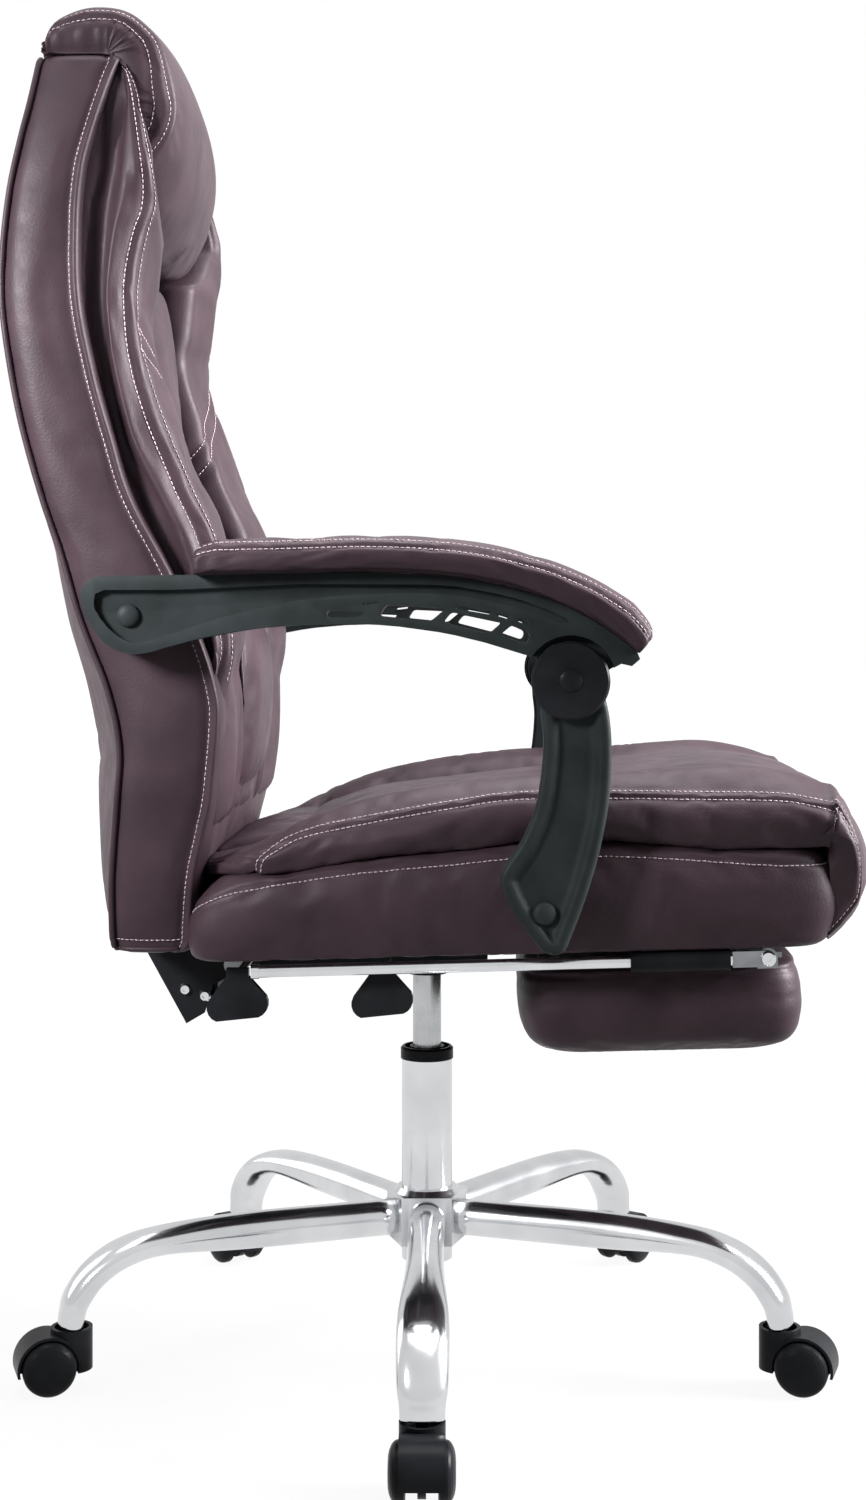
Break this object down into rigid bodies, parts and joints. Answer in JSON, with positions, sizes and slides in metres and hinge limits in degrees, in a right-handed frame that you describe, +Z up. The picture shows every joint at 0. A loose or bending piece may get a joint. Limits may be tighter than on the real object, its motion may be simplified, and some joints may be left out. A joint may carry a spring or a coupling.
{
  "type": "office chair",
  "caption": "High-back padded office chair with head pillow, reclining back on linked armrests, sliding flip-out footrest, gas lift and a chromed star base on twin-wheel casters",
  "frame": {"origin": "on the floor, on the axis of the swivel column", "axes": "+X to the front of the seat, +Y to the sitter's left, +Z up"},
  "size_m": [0.8275, 0.7451, 1.278],
  "materials": {
    "upholstery": "grained synthetic leather over foam, satin",
    "plywood": "bare plywood, hidden by the upholstery",
    "chromed_steel": "polished chrome plate",
    "bright_steel": "satin zinc plate",
    "black_paint": "black powder coat",
    "moulded_arm": "fine-textured black moulding",
    "black_plastic": "smooth black nylon"
  },
  "bodies": {
    "base": {"star_hub": "chromed_steel", "star_arms": "chromed_steel", "caster_sleeves": "bright_steel", "gas_outer_tube": "chromed_steel", "gas_guide_bush": "black_plastic", "gas_thrust_bearing": "bright_steel"},
    "lift_rod": {"gas_rod": "bright_steel"},
    "seat": {"gas_cylinder": "bright_steel", "gas_valve_pin": "bright_steel", "mechanism_frame": "black_paint", "mechanism_bolts": "bright_steel", "recline_shaft": "bright_steel", "seat_board": "plywood", "seat_base_cushion": "upholstery", "seat_top_cushion": "upholstery", "post_bolts": "moulded_arm", "footrest_guides": "black_paint"},
    "height_lever": {"height_lever_rod": "bright_steel", "height_lever_paddle": "black_plastic"},
    "recline_lever": {"recline_lever_rod": "bright_steel", "recline_lever_paddle": "black_plastic"},
    "footrest_slider": {"footrest_rails": "chromed_steel", "footrest_brackets": "bright_steel", "footrest_screws": "chromed_steel"},
    "footrest": {"footrest_board": "bright_steel", "footrest_pad": "upholstery"},
    "back": {"back_hinge_plates": "black_paint", "back_hinge_bolts": "chromed_steel", "back_board": "plywood", "back_side_cushion": "upholstery", "back_rear_panel": "upholstery", "back_middle_cushion": "upholstery", "back_bolsters": "upholstery", "head_pillow": "upholstery", "arm_bolts": "moulded_arm"},
    "arm_right": {"arm_frame_right": "moulded_arm", "arm_pad_right": "upholstery"},
    "post_right": {"post_right": "moulded_arm", "post_pin_right": "black_plastic"},
    "arm_left": {"arm_frame_left": "moulded_arm", "arm_pad_left": "upholstery"},
    "post_left": {"post_left": "moulded_arm", "post_pin_left": "black_plastic"},
    "caster_1": {"caster_hood_1": "black_plastic"},
    "wheel_1a": {"caster_wheel_1a": "black_plastic"},
    "wheel_1b": {"caster_wheel_1b": "black_plastic"},
    "caster_2": {"caster_hood_2": "black_plastic"},
    "wheel_2a": {"caster_wheel_2a": "black_plastic"},
    "wheel_2b": {"caster_wheel_2b": "black_plastic"},
    "caster_3": {"caster_hood_3": "black_plastic"},
    "wheel_3a": {"caster_wheel_3a": "black_plastic"},
    "wheel_3b": {"caster_wheel_3b": "black_plastic"},
    "caster_4": {"caster_hood_4": "black_plastic"},
    "wheel_4a": {"caster_wheel_4a": "black_plastic"},
    "wheel_4b": {"caster_wheel_4b": "black_plastic"},
    "caster_5": {"caster_hood_5": "black_plastic"},
    "wheel_5a": {"caster_wheel_5a": "black_plastic"},
    "wheel_5b": {"caster_wheel_5b": "black_plastic"}
  },
  "joints": [
    {"name": "seat_swivel", "type": "hinge", "parent": "base", "child": "lift_rod", "pos_m": [0, 0, 0.1], "axis": [0, 0, 1], "continuous": true},
    {"name": "seat_height", "type": "slide", "parent": "lift_rod", "child": "seat", "axis": [0, 0, 1], "range_m": [-0.06, 0.04]},
    {"name": "height_lever_lift", "type": "hinge", "parent": "seat", "child": "height_lever", "pos_m": [-0.032, -0.0385, 0.40904], "axis": [-1, 0, 0], "range_deg": [0, 2.5], "stiffness_Nm_per_rad": 3},
    {"name": "recline_lever_lift", "type": "hinge", "parent": "seat", "child": "recline_lever", "pos_m": [-0.161, -0.0385, 0.40516], "axis": [-1, 0, 0], "range_deg": [0, 2.5], "stiffness_Nm_per_rad": 3},
    {"name": "footrest_slide", "type": "slide", "parent": "seat", "child": "footrest_slider", "axis": [0.9995, 0, 0.03], "range_m": [0, 0.315]},
    {"name": "footrest_flip", "type": "hinge", "parent": "footrest_slider", "child": "footrest", "pos_m": [0.307, 0, 0.42532], "axis": [0, -1, 0], "range_deg": [0, 180]},
    {"name": "back_recline", "type": "hinge", "parent": "seat", "child": "back", "pos_m": [-0.176, 0, 0.4], "axis": [0, -1, 0], "range_deg": [0, 35]},
    {"name": "arm_right_pivot", "type": "hinge", "parent": "back", "child": "arm_right", "pos_m": [-0.246, -0.283, 0.725], "axis": [0, -1, 0], "range_deg": [-29.5, 0.5]},
    {"name": "post_right_pivot", "type": "hinge", "parent": "seat", "child": "post_right", "pos_m": [0.111, -0.283, 0.4705], "axis": [0, -1, 0], "range_deg": [-0.5, 54]},
    {"name": "arm_left_pivot", "type": "hinge", "parent": "back", "child": "arm_left", "pos_m": [-0.246, 0.283, 0.725], "axis": [0, -1, 0], "range_deg": [-29.5, 0.5]},
    {"name": "post_left_pivot", "type": "hinge", "parent": "seat", "child": "post_left", "pos_m": [0.111, 0.283, 0.4705], "axis": [0, -1, 0], "range_deg": [-0.5, 54]},
    {"name": "caster_1_swivel", "type": "hinge", "parent": "base", "child": "caster_1", "pos_m": [0.00855, -0.3499, 0.066], "axis": [0, 0, 1], "continuous": true},
    {"name": "wheel_1a_spin", "type": "hinge", "parent": "caster_1", "child": "wheel_1a", "pos_m": [0.02961, -0.37239, 0.025], "axis": [0.9997, 0.0244, 0], "continuous": true},
    {"name": "wheel_1b_spin", "type": "hinge", "parent": "caster_1", "child": "wheel_1b", "pos_m": [-0.01138, -0.37339, 0.025], "axis": [0.9997, 0.0244, 0], "continuous": true},
    {"name": "caster_2_swivel", "type": "hinge", "parent": "base", "child": "caster_2", "pos_m": [0.33541, -0.09999, 0.066], "axis": [0, 0, 1], "continuous": true},
    {"name": "wheel_2a_spin", "type": "hinge", "parent": "caster_2", "child": "wheel_2a", "pos_m": [0.36331, -0.08692, 0.025], "axis": [0.2857, 0.9583, 0], "continuous": true},
    {"name": "wheel_2b_spin", "type": "hinge", "parent": "caster_2", "child": "wheel_2b", "pos_m": [0.3516, -0.12621, 0.025], "axis": [0.2857, 0.9583, 0], "continuous": true},
    {"name": "caster_3_swivel", "type": "hinge", "parent": "base", "child": "caster_3", "pos_m": [0.19875, 0.2881, 0.066], "axis": [0, 0, 1], "continuous": true},
    {"name": "wheel_3a_spin", "type": "hinge", "parent": "caster_3", "child": "wheel_3a", "pos_m": [0.19493, 0.31867, 0.025], "axis": [-0.8231, 0.5678, 0], "continuous": true},
    {"name": "wheel_3b_spin", "type": "hinge", "parent": "caster_3", "child": "wheel_3b", "pos_m": [0.22868, 0.29539, 0.025], "axis": [-0.8231, 0.5678, 0], "continuous": true},
    {"name": "caster_4_swivel", "type": "hinge", "parent": "base", "child": "caster_4", "pos_m": [-0.21258, 0.27804, 0.066], "axis": [0, 0, 1], "continuous": true},
    {"name": "wheel_4a_spin", "type": "hinge", "parent": "caster_4", "child": "wheel_4a", "pos_m": [-0.24284, 0.28386, 0.025], "axis": [-0.7944, -0.6074, 0], "continuous": true},
    {"name": "wheel_4b_spin", "type": "hinge", "parent": "caster_4", "child": "wheel_4b", "pos_m": [-0.21027, 0.30877, 0.025], "axis": [-0.7944, -0.6074, 0], "continuous": true},
    {"name": "caster_5_swivel", "type": "hinge", "parent": "base", "child": "caster_5", "pos_m": [-0.33013, -0.11626, 0.066], "axis": [0, 0, 1], "continuous": true},
    {"name": "wheel_5a_spin", "type": "hinge", "parent": "caster_5", "child": "wheel_5a", "pos_m": [-0.34501, -0.14323, 0.025], "axis": [0.3322, -0.9432, 0], "continuous": true},
    {"name": "wheel_5b_spin", "type": "hinge", "parent": "caster_5", "child": "wheel_5b", "pos_m": [-0.35863, -0.10456, 0.025], "axis": [0.3322, -0.9432, 0], "continuous": true}
  ],
  "couplings": [
    {"joint": "footrest_flip", "follows": "footrest_slide", "rad_per_m": 9.9733},
    {"joint": "arm_right_pivot", "follows": "back_recline", "ratio": -0.83},
    {"joint": "post_right_pivot", "follows": "back_recline", "ratio": 1.535},
    {"joint": "arm_left_pivot", "follows": "back_recline", "ratio": -0.83},
    {"joint": "post_left_pivot", "follows": "back_recline", "ratio": 1.535}
  ]
}
